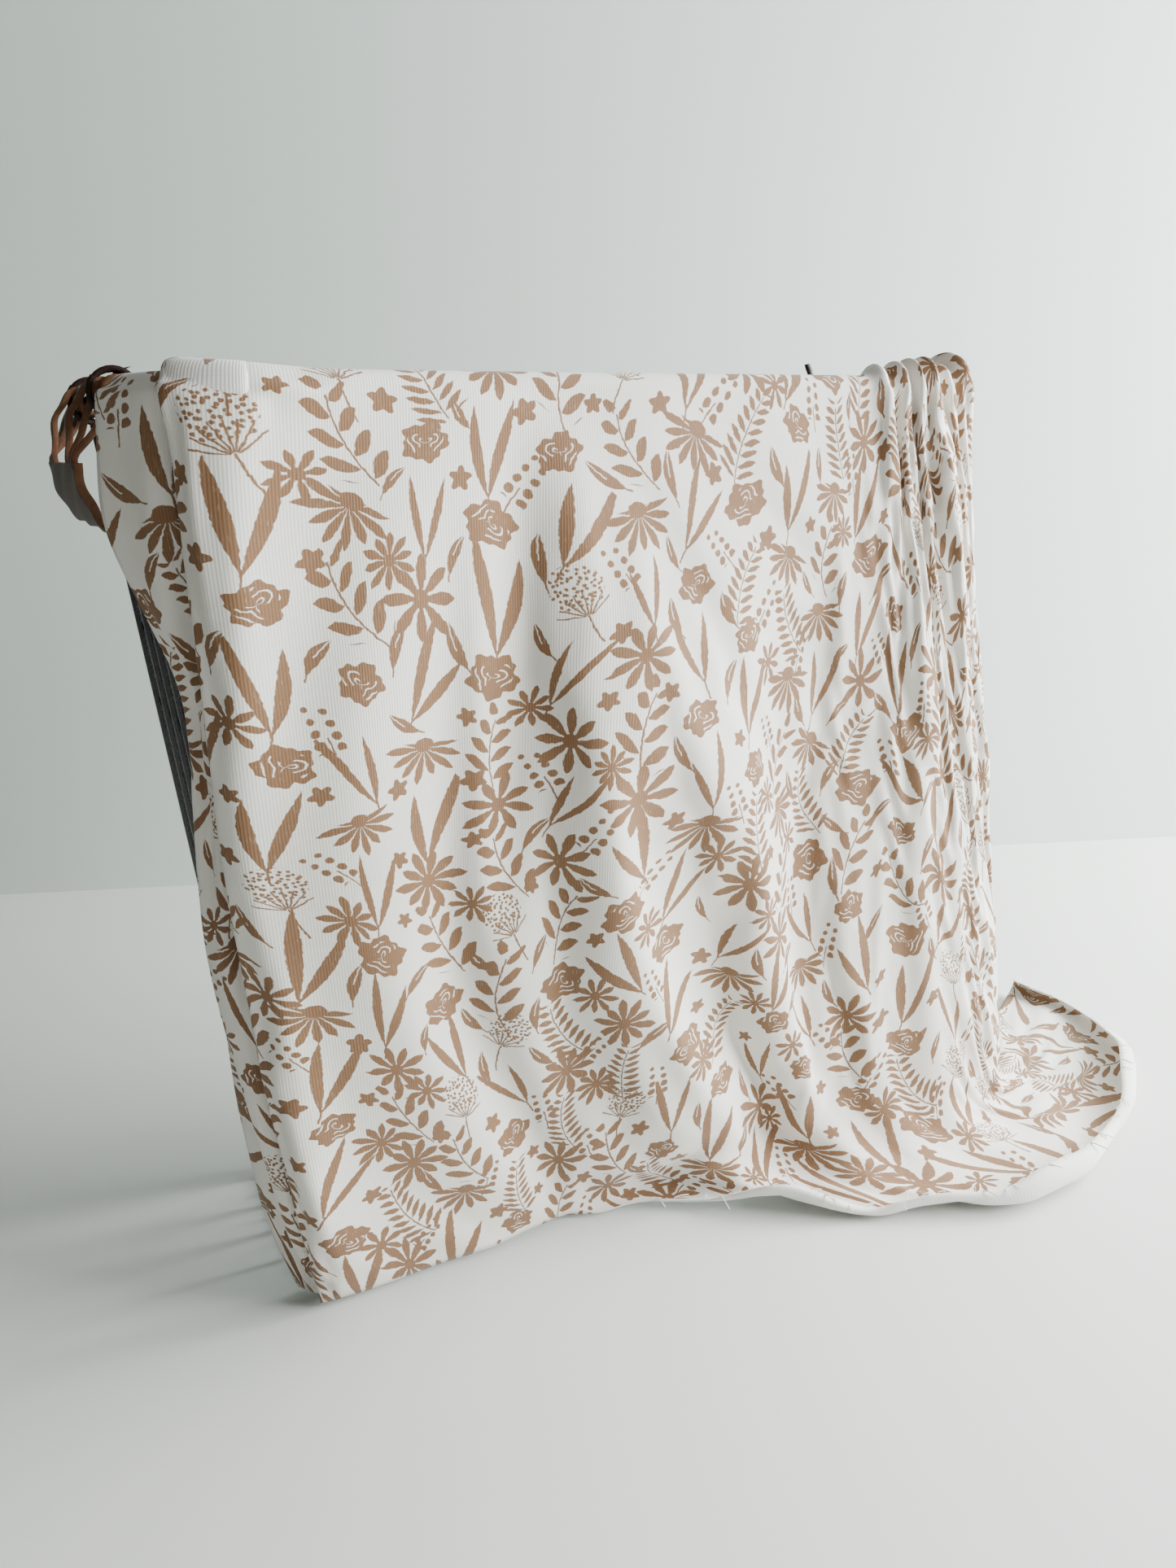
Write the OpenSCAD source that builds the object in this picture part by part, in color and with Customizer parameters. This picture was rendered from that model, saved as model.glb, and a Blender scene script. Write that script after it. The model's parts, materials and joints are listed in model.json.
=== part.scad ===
// Tapered wire carrier with two leather handles and a soft jersey wrap over its front rim.
// Row frame: +Z up, -Y is the draped front, z = 0 is the table, origin under the middle of the base.
// Every length is in millimetres.

/* [Basket] */
// Height of the rim wire's centre above the table
rim_z = 327; // [250:1:400]
// Length of the rim, centre line
rim_w = 316; // [250:1:380]
// Depth of the rim, centre line
rim_d = 150; // [130:1:220]
// Corner radius of the rim, centre line
rim_r = 36; // [34:1:44]
// How far each side leans in between rim and base
taper = 30; // [10:1:31]
// Diameter of the rim wire
rim_wire = 5; // [4:0.5:6]
// Diameter of the upright and mid hoop wires
wire = 3; // [2.5:0.5:4]
// Diameter of the base hoop wire
base_wire = 4; // [3:0.5:5]
// Height of the upper mid hoop
upper_hoop_z = 247; // [230:1:270]
// Height of the lower mid hoop
lower_hoop_z = 218; // [190:1:225]
// Spacing of the front and back uprights
upright_pitch = 20; // [18:0.5:22]
// Distance of the end uprights either side of the middle one
end_pitch = 18.5; // [16:0.5:19]

/* [Handles] */
// Half the length of a leather band
band_half = 42; // [38:1:44]
// Leather thickness
leather = 3.4; // [2.5:0.1:4]
// How far the hanging band bows away from the rim
bow = 13; // [11:1:20]
// Half height of the hanging loop
drop = 24; // [22:1:30]
// Width of one slit thong
thong_w = 5; // [4:0.25:5.25]
// Distance between neighbouring thongs
thong_pitch = 6; // [5.5:0.25:6.25]
// Distance of the middle thong from the middle of the handle
thong_y = 30; // [28:0.5:31]
// Gap between the lashings and the rim wire, all round
lash_gap = 0.35; // [0.25:0.05:0.6]

/* [Wrap] */
// Thickness of the cloth panels
cloth = 3; // [2:0.5:4]
// Gap between the rim wire and the cloth
cloth_gap = 2; // [1.5:0.5:4]
// Height of the front hem above the table
hem_z = 4; // [1:1:5]
// How far the cloth falls inside the front rim
inner_fall = 50; // [30:1:60]
// The wrap covers the rim where y is below minus this
wrap_y = 52; // [50:1:60]

/* [Hidden] */
$fn = 48;
rr = rim_wire / 2;
wr = wire / 2;
br = base_wire / 2;
weld = 0.4;
base_z = br;
span = rim_z - base_z;
in_hoop = wire - weld;
flat_x = rim_w / 2 - rim_r;
flat_y = rim_d / 2 - rim_r;
ring_in = rr + lash_gap;
ring_out = ring_in + leather - 0.2;
black = [0.06, 0.06, 0.07];
brown = [0.36, 0.2, 0.11];
dark = [0.2, 0.11, 0.07];
cream = [0.88, 0.86, 0.83];

// fraction of the taper reached at height z
function lean(z) = taper * (rim_z - z) / span;

// straight wire between two points
module rod(a, b, r) {
  d = b - a;
  l = norm(d);
  translate(a)
    rotate([0, acos(d[2] / l), atan2(d[1], d[0])])
      cylinder(h = l, r = r);
}

// rounded rectangular hoop of round wire, centre line w by d with corner radius c
module hoop(z, w, d, c, r) {
  fx = w / 2 - c;
  fy = d / 2 - c;
  for (s = [-1, 1]) {
    rod([-fx, s * d / 2, z], [fx, s * d / 2, z], r);
    rod([s * w / 2, -fy, z], [s * w / 2, fy, z], r);
  }
  for (k = [0:3]) {
    sx = (k == 0 || k == 3) ? 1 : -1;
    sy = (k < 2) ? 1 : -1;
    translate([sx * fx, sy * fy, z])
      rotate([0, 0, 90 * k])
        rotate_extrude(angle = 90)
          translate([c, 0])
            circle(r = r);
  }
}

// mid hoop at height z, welded inside the uprights
module mid_hoop(z) {
  i = round(10 * (lean(z) + in_hoop)) / 10;
  hoop(z, rim_w - 2 * i, rim_d - 2 * i, rim_r - i, wr);
}

// upright that leaves the rim at (x, y) and leans in along the unit direction (nx, ny)
module upright(x, y, nx, ny) {
  top = 1.2;
  rod([x - nx * lean(rim_z - top), y - ny * lean(rim_z - top), rim_z - top],
      [x - nx * taper, y - ny * taper, base_z], wr);
}

module long_uprights(s) {
  for (i = [-5.5:1:5.5])
    upright(i * upright_pitch, s * rim_d / 2, 0, s);
}

module end_uprights(s) {
  for (i = [-1:1])
    upright(s * rim_w / 2, i * end_pitch, s, 0);
}

module corner_uprights(sx, sy) {
  for (a = [12, 45, 78])
    upright(sx * (flat_x + rim_r * cos(a)), sy * (flat_y + rim_r * sin(a)), sx * cos(a), sy * sin(a));
}

// ---- basket -------------------------------------------------------------
module rim() {
  color(black) hoop(rim_z, rim_w, rim_d, rim_r, rr);
}

module upper_hoop() {
  color(black) mid_hoop(upper_hoop_z);
}

module lower_hoop() {
  color(black) mid_hoop(lower_hoop_z);
}

module base_hoop() {
  color(black) hoop(base_z, rim_w - 2 * taper, rim_d - 2 * taper, rim_r - taper, br);
}

module front_uprights() {
  color(black) long_uprights(-1);
}

module back_uprights() {
  color(black) long_uprights(1);
}

module left_uprights() {
  color(black) end_uprights(-1);
}

module right_uprights() {
  color(black) end_uprights(1);
}

module front_left_uprights() {
  color(black) corner_uprights(-1, -1);
}

module front_right_uprights() {
  color(black) corner_uprights(1, -1);
}

module back_left_uprights() {
  color(black) corner_uprights(-1, 1);
}

module back_right_uprights() {
  color(black) corner_uprights(1, 1);
}

module base_long_wires() {
  z = 2 * br + wr - weld;
  x = rim_w / 2 - taper;
  color(black)
    for (y = [-27, -9, 9, 27])
      rod([-x, y, z], [x, y, z], wr);
}

module base_cross_wires() {
  z = 2 * br + 3 * wr - 2 * weld;
  y = rim_d / 2 - taper;
  color(black)
    for (i = [-5:5])
      rod([i * upright_pitch, -y + 3, z], [i * upright_pitch, y - 3, z], wr);
}

// turned-over end of the rim wire beside the right handle
module rim_end_knob() {
  color(black)
    translate([rim_w / 2 - 14, flat_y + 20, rim_z + rr + 1.6])
      sphere(r = 2.4);
}

// short wire ring that closes a mid hoop round the first corner upright
module hoop_tie(z) {
  a = 12;
  i = lean(z);
  x = flat_x + (rim_r - i) * cos(a);
  y = flat_y + (rim_r - i) * sin(a);
  translate([-x, -y, z])
    rotate_extrude()
      translate([wr + 1.0, 0])
        circle(r = 1.2);
}

module upper_hoop_tie() {
  color(black) hoop_tie(upper_hoop_z);
}

module lower_hoop_tie() {
  color(black) hoop_tie(lower_hoop_z);
}

// ---- handles: built for the right end, mirrored for the left --------------
// point on the hanging curve at angle a, o millimetres outside its middle line
function curve(a, o) = [2 + (bow + o) * cos(a), -drop + 4 + (drop + o) * sin(a)];

// slice of the leather curve between two angles, as wide as w along y
module leather_strip(a0, a1, y, w) {
  n = 14;
  out = [for (i = [0:n]) curve(a0 + (a1 - a0) * i / n, leather / 2)];
  back = [for (i = [n:-1:0]) curve(a0 + (a1 - a0) * i / n, -leather / 2)];
  translate([rim_w / 2, y + w / 2, rim_z])
    rotate([90, 0, 0])
      linear_extrude(height = w)
        polygon(concat(out, back));
}

module band() {
  leather_strip(-66, -4, 0, 2 * band_half);
}

module thongs(s) {
  for (i = [-1:1])
    leather_strip(-8, 76, s * (thong_y + i * thong_pitch), thong_w);
}

// flat ring of leather round the rim, its axis along y
module ring(y, ri, ro, w) {
  translate([rim_w / 2, y + w / 2, rim_z])
    rotate([90, 0, 0])
      difference() {
        cylinder(h = w, r = ro);
        translate([0, 0, -1])
          cylinder(h = w + 2, r = ri);
      }
}

module lashings(s) {
  for (i = [-1:1])
    ring(s * (thong_y + i * thong_pitch), ring_in, ring_out, thong_w);
}

// dark thong knotted over the lashings, one loose end standing up
module tie(s, stub) {
  ring(s * thong_y, ring_out - 0.3, ring_out + 2, 3 * thong_w - 2);
  translate([rim_w / 2 - 2, s * thong_y, rim_z + ring_out + 0.6])
    rotate([0, -12, 0])
      cylinder(h = stub, r1 = 2.2, r2 = 1.2);
}

module right_band() {
  color(brown) band();
}

module right_front_thongs() {
  color(brown) thongs(-1);
}

module right_back_thongs() {
  color(brown) thongs(1);
}

module right_front_lashings() {
  color(brown) lashings(-1);
}

module right_back_lashings() {
  color(brown) lashings(1);
}

module right_front_tie() {
  color(dark) tie(-1, 6);
}

module right_back_tie() {
  color(dark) tie(1, 9);
}

module left_band() {
  color(brown) mirror([1, 0, 0]) band();
}

module left_front_thongs() {
  color(brown) mirror([1, 0, 0]) thongs(-1);
}

module left_back_thongs() {
  color(brown) mirror([1, 0, 0]) thongs(1);
}

module left_front_lashings() {
  color(brown) mirror([1, 0, 0]) lashings(-1);
}

module left_back_lashings() {
  color(brown) mirror([1, 0, 0]) lashings(1);
}

module left_front_tie() {
  color(dark) mirror([1, 0, 0]) tie(-1, 6);
}

module left_back_tie() {
  color(dark) mirror([1, 0, 0]) tie(1, 6);
}

// ---- wrap: one plain cloth ------------------------------------------------
// rim outline moved out by o
module outline(o) {
  offset(r = rim_r + o)
    square([2 * flat_x, 2 * flat_y], center = true);
}

// wall between two offsets of the rim outline, only where the wrap covers the rim
module panel(o0, o1, z0, z1) {
  translate([0, 0, z0])
    linear_extrude(height = z1 - z0)
      intersection() {
        difference() {
          outline(o1);
          outline(o0);
        }
        translate([-250, -200])
          square([500, 200 - wrap_y]);
      }
}

module wrap() {
  out0 = rr + cloth_gap;
  out1 = out0 + cloth;
  in0 = -rr - cloth_gap - 8;
  top = rim_z + rr + cloth_gap;
  color(cream) {
    panel(out0, out1, hem_z, top + cloth);
    panel(in0, in0 + cloth, rim_z - inner_fall, top + cloth);
    panel(in0, out1, top, top + cloth);
    left_fold(top);
    right_skirt(top);
    pool();
  }
}

// fold that bulges round the front left corner
module left_fold(top) {
  translate([-flat_x, -flat_y, top - 140])
    linear_extrude(height = 140)
      polygon([[-40.8, -14], [-57, -13], [-55, -24], [-36, -37], [-21, -37.5],
        [-21, -35], [-34, -33.5], [-51.5, -22.5], [-53.5, -16], [-40.8, -17]]);
}

// part that leaves the front right corner and flares out to the table
module right_skirt(top) {
  r = rim_r + rr + cloth_gap + cloth + 0.5;
  tops = [for (a = [-80, -45, -15]) [flat_x + r * cos(a), -flat_y + r * sin(a)]];
  foot = [[135, -124], [215, -135], [285, -62]];
  for (i = [0, 1])
    hull() {
      for (k = [i, i + 1]) {
        translate([tops[k][0], tops[k][1], top])
          cylinder(h = cloth, r = cloth / 2, $fn = 12);
        translate([foot[k][0], foot[k][1], 0])
          cylinder(h = cloth, r = cloth / 2, $fn = 12);
      }
    }
}

// cloth lying on the table
module pool() {
  linear_extrude(height = 5)
    polygon([[12, -82], [20, -88], [83, -122], [158, -153], [180, -150], [262, -116], [294, -80],
      [300, -40], [286, 6], [262, 4], [232, -46], [180, -90], [100, -84]]);
}

rim();
upper_hoop();
lower_hoop();
base_hoop();
front_uprights();
back_uprights();
left_uprights();
right_uprights();
front_left_uprights();
front_right_uprights();
back_left_uprights();
back_right_uprights();
base_long_wires();
base_cross_wires();
rim_end_knob();
upper_hoop_tie();
lower_hoop_tie();
left_band();
left_front_thongs();
left_back_thongs();
left_front_lashings();
left_back_lashings();
left_front_tie();
left_back_tie();
right_band();
right_front_thongs();
right_back_thongs();
right_front_lashings();
right_back_lashings();
right_front_tie();
right_back_tie();
wrap();
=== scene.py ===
# %% [markdown]
# # A wire carrier, its leather handles and a draped jersey wrap
# A tapered basket of black wire carries two leather handles, and a printed baby wrap of
# stretch jersey hangs over its front rim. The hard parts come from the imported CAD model,
# which this script loads as a fixed frame. Here they get their finishes, the leather gets
# its slits and lashings, and the wrap is draped as real cloth.

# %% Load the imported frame
import json
import math

import bmesh
import bpy
import numpy as np
from mathutils import Matrix, Vector
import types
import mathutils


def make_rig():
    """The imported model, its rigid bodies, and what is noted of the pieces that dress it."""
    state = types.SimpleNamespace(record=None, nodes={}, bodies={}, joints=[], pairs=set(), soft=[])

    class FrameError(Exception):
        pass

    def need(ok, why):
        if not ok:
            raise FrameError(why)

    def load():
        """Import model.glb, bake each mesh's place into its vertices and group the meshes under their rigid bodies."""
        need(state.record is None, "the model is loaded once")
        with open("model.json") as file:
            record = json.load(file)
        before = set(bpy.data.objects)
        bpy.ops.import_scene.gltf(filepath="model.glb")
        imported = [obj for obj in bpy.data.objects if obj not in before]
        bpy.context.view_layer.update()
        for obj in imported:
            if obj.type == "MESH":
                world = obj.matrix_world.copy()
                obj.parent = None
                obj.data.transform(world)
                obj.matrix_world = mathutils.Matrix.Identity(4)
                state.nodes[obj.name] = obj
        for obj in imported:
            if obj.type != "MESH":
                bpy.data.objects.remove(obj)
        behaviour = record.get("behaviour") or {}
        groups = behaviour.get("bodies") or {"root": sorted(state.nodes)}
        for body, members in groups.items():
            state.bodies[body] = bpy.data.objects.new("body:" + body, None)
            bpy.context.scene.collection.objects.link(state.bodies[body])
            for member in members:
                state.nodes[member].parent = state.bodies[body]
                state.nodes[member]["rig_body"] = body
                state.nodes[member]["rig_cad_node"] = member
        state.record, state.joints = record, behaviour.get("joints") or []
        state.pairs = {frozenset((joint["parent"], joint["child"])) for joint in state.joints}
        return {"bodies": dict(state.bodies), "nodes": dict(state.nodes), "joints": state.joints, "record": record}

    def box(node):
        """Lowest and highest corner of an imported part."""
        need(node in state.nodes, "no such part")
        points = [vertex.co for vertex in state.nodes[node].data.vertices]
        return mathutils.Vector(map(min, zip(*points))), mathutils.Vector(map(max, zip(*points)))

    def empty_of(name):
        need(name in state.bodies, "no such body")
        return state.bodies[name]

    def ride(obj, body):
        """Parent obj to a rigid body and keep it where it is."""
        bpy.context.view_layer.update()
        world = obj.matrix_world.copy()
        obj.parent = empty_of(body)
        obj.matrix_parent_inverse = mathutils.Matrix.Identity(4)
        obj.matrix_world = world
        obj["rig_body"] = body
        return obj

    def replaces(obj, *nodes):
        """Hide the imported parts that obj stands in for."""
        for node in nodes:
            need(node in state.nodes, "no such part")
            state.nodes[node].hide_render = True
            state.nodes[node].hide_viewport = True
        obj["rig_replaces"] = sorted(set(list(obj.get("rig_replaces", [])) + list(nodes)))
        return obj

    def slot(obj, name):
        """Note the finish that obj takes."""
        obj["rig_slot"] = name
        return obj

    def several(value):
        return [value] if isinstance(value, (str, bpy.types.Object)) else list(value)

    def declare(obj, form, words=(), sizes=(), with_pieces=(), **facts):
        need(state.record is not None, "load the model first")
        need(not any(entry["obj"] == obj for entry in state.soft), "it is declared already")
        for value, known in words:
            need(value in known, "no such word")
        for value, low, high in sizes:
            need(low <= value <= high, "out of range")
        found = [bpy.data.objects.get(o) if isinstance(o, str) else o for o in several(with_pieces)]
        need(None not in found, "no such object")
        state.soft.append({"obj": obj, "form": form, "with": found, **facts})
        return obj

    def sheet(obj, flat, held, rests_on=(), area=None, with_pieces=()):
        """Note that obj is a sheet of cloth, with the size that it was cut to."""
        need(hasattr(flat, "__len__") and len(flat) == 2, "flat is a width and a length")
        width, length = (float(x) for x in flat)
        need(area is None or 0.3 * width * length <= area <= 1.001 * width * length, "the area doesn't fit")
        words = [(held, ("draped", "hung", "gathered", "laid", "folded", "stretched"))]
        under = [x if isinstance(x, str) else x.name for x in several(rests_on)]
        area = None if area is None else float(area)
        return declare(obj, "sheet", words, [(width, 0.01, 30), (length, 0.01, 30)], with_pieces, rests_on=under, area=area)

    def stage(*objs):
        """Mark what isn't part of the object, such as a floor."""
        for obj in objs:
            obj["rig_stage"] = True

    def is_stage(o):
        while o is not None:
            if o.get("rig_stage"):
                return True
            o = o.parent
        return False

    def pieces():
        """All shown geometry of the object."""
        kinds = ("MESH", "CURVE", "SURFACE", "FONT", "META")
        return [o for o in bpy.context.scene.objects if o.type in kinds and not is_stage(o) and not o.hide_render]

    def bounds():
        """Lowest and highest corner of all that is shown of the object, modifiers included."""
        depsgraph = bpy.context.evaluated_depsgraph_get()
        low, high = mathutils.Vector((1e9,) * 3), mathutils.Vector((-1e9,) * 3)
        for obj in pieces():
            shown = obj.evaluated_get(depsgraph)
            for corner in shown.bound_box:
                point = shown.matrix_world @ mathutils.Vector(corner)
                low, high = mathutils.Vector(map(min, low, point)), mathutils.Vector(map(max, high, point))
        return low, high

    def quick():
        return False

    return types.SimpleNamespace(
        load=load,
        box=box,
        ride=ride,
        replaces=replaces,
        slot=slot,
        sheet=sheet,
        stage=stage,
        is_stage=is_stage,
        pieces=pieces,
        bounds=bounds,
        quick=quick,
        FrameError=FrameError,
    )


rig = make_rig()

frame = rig.load()
cad_box = [list(corner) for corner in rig.bounds()]
nodes = frame["nodes"]
scene = bpy.context.scene
print("loaded", len(nodes), "CAD nodes")

# %% [markdown]
# ## Camera
# The camera stands in front of the left corner, about level with the rim, and looks a
# little down. Making it first means that every later step can be judged in the same view.

# %% Camera
camera_data = bpy.data.cameras.new("camera")
camera_data.lens = 26.0
camera_data.sensor_width = 36.0
camera_data.clip_start = 0.01
camera = bpy.data.objects.new("camera", camera_data)
turn, tilt, roll = math.radians(-28.52), math.radians(90 - 16.8), math.radians(-1.18)
camera.matrix_world = (
    Matrix.Translation((-0.2071, -0.4108, 0.3103))
    @ Matrix.Rotation(turn, 4, "Z")
    @ Matrix.Rotation(tilt, 4, "X")
    @ Matrix.Rotation(roll, 4, "Z")
)
scene.collection.objects.link(camera)
scene.camera = camera

# %% [markdown]
# ## Measures taken from the frame
# The rim hoop gives the plan that the cloth follows: a rounded rectangle. Reading it from
# the CAD box keeps cloth and basket in step if the basket is ever changed.

# %% Rim plan
rim_low, rim_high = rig.box("rim")
rim_wire = (rim_high.z - rim_low.z) / 2
half_w, half_d = rim_high.x - rim_wire, rim_high.y - rim_wire
rim_z, corner = rim_high.z - rim_wire, 0.036
base_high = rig.box("base_hoop")[1]
base_wire = 0.002                                     # half the thickness of the base hoop
taper = half_w - (base_high.x - base_wire)
print(f"rim {2 * half_w:.3f} x {2 * half_d:.3f} m at {rim_z:.3f} m, taper {taper:.3f} m")

# %% [markdown]
# ## Shader sums as plain Python
# A print or a leather grain is mostly arithmetic on a few numbers. One small class wraps a
# socket and overloads the operators, so that `1 - mask` adds the Math node that does it.

# %% Expression class
class Sum:
    """One value in a material. Python operators on it add Math nodes."""

    def __init__(self, tree, socket):
        self.tree, self.socket = tree, socket

    def maths(self, operation, *others, clamp=False):
        node = self.tree.nodes.new("ShaderNodeMath")
        node.operation = operation
        node.use_clamp = clamp
        for slot, value in zip(node.inputs, (self, *others)):
            plug(self.tree, slot, value)
        return Sum(self.tree, node.outputs[0])

    def __add__(self, o): return self.maths("ADD", o)
    def __sub__(self, o): return self.maths("SUBTRACT", o)
    def __mul__(self, o): return self.maths("MULTIPLY", o)
    def __truediv__(self, o): return self.maths("DIVIDE", o)
    def __neg__(self): return self.maths("MULTIPLY", -1.0)
    def __abs__(self): return self.maths("ABSOLUTE")
    def __radd__(self, o): return self.maths("ADD", o)
    def __rmul__(self, o): return self.maths("MULTIPLY", o)

    def __rsub__(self, o):
        return Sum(self.tree, constant(self.tree, o)).maths("SUBTRACT", self)

    def __rtruediv__(self, o):
        return Sum(self.tree, constant(self.tree, o)).maths("DIVIDE", self)

    def low(self, o): return self.maths("MINIMUM", o)
    def high(self, o): return self.maths("MAXIMUM", o)
    def part(self): return self.maths("FRACT")
    def whole(self): return self.maths("FLOOR")
    def sine(self): return self.maths("SINE")
    def root(self): return self.maths("SQRT")
    def clamp(self): return self.maths("ADD", 0.0, clamp=True)


def constant(tree, number):
    node = tree.nodes.new("ShaderNodeValue")
    node.outputs[0].default_value = number
    return node.outputs[0]


def plug(tree, slot, value):
    """Links a value into a socket, or writes a plain number or colour on it."""
    if isinstance(value, Sum):
        value = value.socket
    if isinstance(value, bpy.types.NodeSocket):
        tree.links.new(value, slot)
    elif value is not None:
        slot.default_value = value


class Finish:
    """A node material that is written as Python."""

    def __init__(self, name):
        self.material = bpy.data.materials.new(name)
        self.material.use_nodes = True
        self.tree = self.material.node_tree
        self.shader = self.tree.nodes["Principled BSDF"]

    def add(self, kind, settings=(), inputs=()):
        """Any node: its settings first, then what its sockets get. Returns the node."""
        node = self.tree.nodes.new("ShaderNode" + kind)
        for key, value in dict(settings).items():
            setattr(node, key, value)
        for key, value in dict(inputs).items():
            plug(self.tree, node.inputs[key], value)
        return node

    def value(self, socket):
        return Sum(self.tree, socket)

    def noise(self, place, scale, detail=2.0, roughness=0.5):
        node = self.add("TexNoise", {}, {"Vector": place, "Scale": scale, "Detail": detail,
                                         "Roughness": roughness})
        return self.value(node.outputs["Fac"])

    def mix(self, share, a, b):
        node = self.add("Mix", {"data_type": "RGBA"}, {0: share, 6: a, 7: b})
        return node.outputs[2]

    def bump(self, height, distance, strength=1.0):
        node = self.add("Bump", {}, {"Height": height, "Distance": distance,
                                     "Strength": strength})
        return node.outputs["Normal"]

    def principled(self, **inputs):
        for key, value in inputs.items():
            plug(self.tree, self.shader.inputs[key.replace("_", " ")], value)
        return self.material


def place_mm(finish):
    """Object coordinates in millimetres."""
    where = finish.add("TexCoord").outputs["Object"]
    scaled = finish.add("VectorMath", {"operation": "SCALE"}, {0: where, "Scale": 1000.0})
    return scaled.outputs[0]


print("expression class ready")

# %% [markdown]
# ## One way to make a mesh
# Cloth, straps, helpers and table all start as lists of points and faces at the origin.

# %% Mesh helper
def new_piece(name, points, faces):
    """Mesh object of that name, linked into the scene."""
    mesh = bpy.data.meshes.new(name)
    mesh.from_pydata([tuple(p) for p in points], [], faces)
    mesh.update()
    piece = bpy.data.objects.new(name, mesh)
    scene.collection.objects.link(piece)
    return piece


print("mesh helper ready")

# %% [markdown]
# ## Black wire
# The basket is steel wire under a glossy black coat. A coat of paint over drawn wire is
# nearly even, so the colour barely changes, and faint ripples in the coat bend the
# highlights.

# %% Black wire finish
def black_wire():
    coat = Finish("black_wire")
    mm = place_mm(coat)
    ripple = coat.noise(mm, 0.35, 3.0)
    dust = coat.noise(mm, 1.6, 4.0, 0.7)
    tint = coat.mix((dust * 1.6 - 0.55).clamp(), (0.010, 0.010, 0.012, 1), (0.028, 0.027, 0.028, 1))
    return coat.principled(Base_Color=tint, Roughness=0.16 + dust * 0.22,
                           Normal=coat.bump(ripple, 0.0002, 0.5), Coat_Weight=0.4, Coat_Roughness=0.08)


wire_paint = black_wire()
for name, part in nodes.items():
    if name in frame["record"]["behaviour"]["bodies"]["basket"]:
        part.data.materials.clear()
        part.data.materials.append(wire_paint)
print("wires painted")

# %% [markdown]
# ## The wrap: plan lines of a hanging cloth
# The wrap is one length of stretch jersey. It hooks over the front rim, doubles back on
# itself at the left front corner, bunches over the right front corner and runs out on the
# table. A flat cloth that is simply dropped takes long and gives little say over where it
# lands. Here the drape is first laid out like a tailor's plan: for a few threads it is
# stated where they cross the rim, where they pass each height and where they end. A short
# fall then settles the cloth between the places that are held.

# %% Threads that lead the layout
def wall_point(s, z, off):
    """Point off the basket wall. s runs along the rim, and is x along the front."""
    lean = taper * (1 - z / rim_z)
    c, r = half_w - corner, corner - lean + off
    side = 1 if s > 0 else -1
    a = min(max(abs(s) - c, 0) / corner, math.pi / 2)
    x = min(abs(s), c) + r * math.sin(a)
    y = corner - half_d - r * math.cos(a) + max(0, abs(s) - c - corner * math.pi / 2)
    return side * x, y


LEVELS = [0.331, 0.290, 0.240, 0.160, 0.080, 0.030, 0.003]
LYING, FALL = 0.003, 0.328                            # height of the cloth that lies, and of the fall
MM = 0.001
levels_t = np.array([1 - (z - LYING) / FALL for z in LEVELS])
# place across the cloth, then places along the rim and clearances from the wall, level by level
LEFT = [
    (0, [-171, -171, -163, -178, -190, -188, -178], [8, 16, 6, 9, 13, 13, 8]),
    (22, [-152, -153, -147, -153, -156, -156, -150], [7, 10, 5, 8, 10, 10, 6]),
    (42, [-130, -130, -128, -123, -117, -115, -114], [4, 4, 4, 5, 6, 6, 4]),
    (47, [-127, -127, -125, -120, -114, -112, -111], [6, 6, 6, 7, 8, 8, 5]),
    (52, [-130, -130, -128, -123, -117, -115, -114], [7, 8, 8, 9, 10, 10, 6]),
    (67, [-149, -151, -151, -152, -155, -153, -145], [9, 10, 10, 11, 12, 12, 8]),
    (71, [-152, -154, -154, -155, -158, -156, -148], [11, 13, 13, 14, 14, 14, 10]),
    (75, [-149, -151, -151, -152, -155, -153, -145], [12, 15, 15, 16, 16, 15, 11]),
    (100, [-123, -124, -122, -118, -114, -112, -110], [7, 9, 10, 11, 12, 12, 10]),
    (160, [-60, -60, -59, -58, -56, -55, -54], [4, 5, 6, 8, 9, 10, 9]),
]
# place across, along the rim, foot x and y, hem x and y
RIGHT = [
    (220, 3, 0, -55, 2, -62),
    (256, 38, 33, -62, 36, -86),
    (304, 76, 74, -74, 84, -119),
    (336, 96, 112, -85, 138, -144),
    (364, 107, 144, -92, 180, -143),
    (392, 115, 168, -92, 230, -125),
    (420, 123, 185, -85, 270, -92),
    (446, 132, 196, -72, 291, -50),
    (472, 142, 198, -50, 286, -6),
]
key_u, key_plan, key_hem = [], [], []
for u, along, clear in LEFT:
    key_u.append(u * MM)
    key_plan.append([wall_point(s * MM, z, c * MM) for s, c, z in zip(along, clear, LEVELS)])
    key_hem.append(key_plan[-1][-1])
for u, s, fx, fy, hx, hy in RIGHT:
    key_u.append(u * MM)
    top = wall_point(s * MM, rim_z, 0.005)
    key_plan.append([(top[0] + (fx * MM - top[0]) * t, top[1] + (fy * MM - top[1]) * t) for t in levels_t])
    key_hem.append((hx * MM, hy * MM))
key_u, key_plan, key_hem = np.array(key_u), np.array(key_plan), np.array(key_hem)
lean_out = np.array([0.0, 0.002, 0.006, 0.011, 0.010, 0.004, 0.0])      # the gather leans to the right
key_plan[-4:, :, 0] += lean_out * np.array([[0.4], [0.8], [1.0], [1.0]])

# %% Columns: dense where the cloth doubles or gathers
columns = np.concatenate([np.arange(0, 0.108, 0.003), np.arange(0.108, 0.300, 0.006),
                          np.arange(0.300, 0.4721, 0.0027)])
count = len(columns)


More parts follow.
